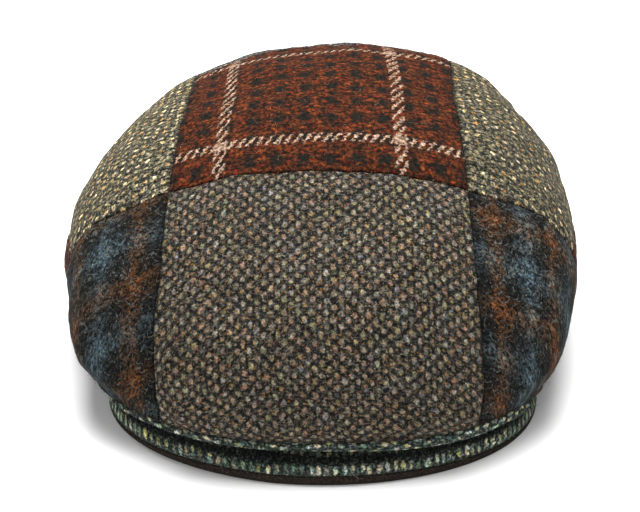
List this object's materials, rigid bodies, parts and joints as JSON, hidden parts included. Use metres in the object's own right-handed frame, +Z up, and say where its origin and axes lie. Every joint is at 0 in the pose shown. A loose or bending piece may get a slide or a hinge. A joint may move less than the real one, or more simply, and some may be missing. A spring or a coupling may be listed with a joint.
{
  "type": "flat cap",
  "caption": "Soft flat cap of sewn tweed patches: a low rounded crown that overhangs its head opening, closed in front onto a short curved peak.",
  "frame": {"origin": "middle of the cap's footprint, on the surface that it lies on", "axes": "-Y towards the peak in front, +Y towards the back, +X to the right of someone who looks at the front, +Z up"},
  "size_m": [0.2282, 0.2592, 0.1108],
  "materials": {
    "barleycorn_tweed": "rough wool tweed, brown and grey spots on near black",
    "blue_check_tweed": "brushed wool, blurred check of blue grey, rust brown and black",
    "rust_plaid_tweed": "brushed wool plaid, rust red with brown spots and cream lines",
    "olive_tweed": "coarse wool tweed, olive grey with cream spots",
    "grey_tweed": "wool tweed, mixed grey",
    "green_tweed": "coarse wool tweed, dark green with cream and grey flecks",
    "dark_brown_cloth": "plain dark brown wool cloth"
  },
  "bodies": {
    "root": {"patch_front_centre": "barleycorn_tweed", "patch_front_left": "blue_check_tweed", "patch_front_right": "blue_check_tweed", "patch_top_centre": "rust_plaid_tweed", "patch_top_left": "olive_tweed", "patch_top_right": "olive_tweed", "patch_side_left": "rust_plaid_tweed", "patch_side_right": "rust_plaid_tweed", "patch_back_centre": "grey_tweed", "patch_back_left": "barleycorn_tweed", "patch_back_right": "blue_check_tweed", "front_facing": "green_tweed", "peak": "green_tweed", "peak_underside": "dark_brown_cloth"}
  },
  "joints": []
}
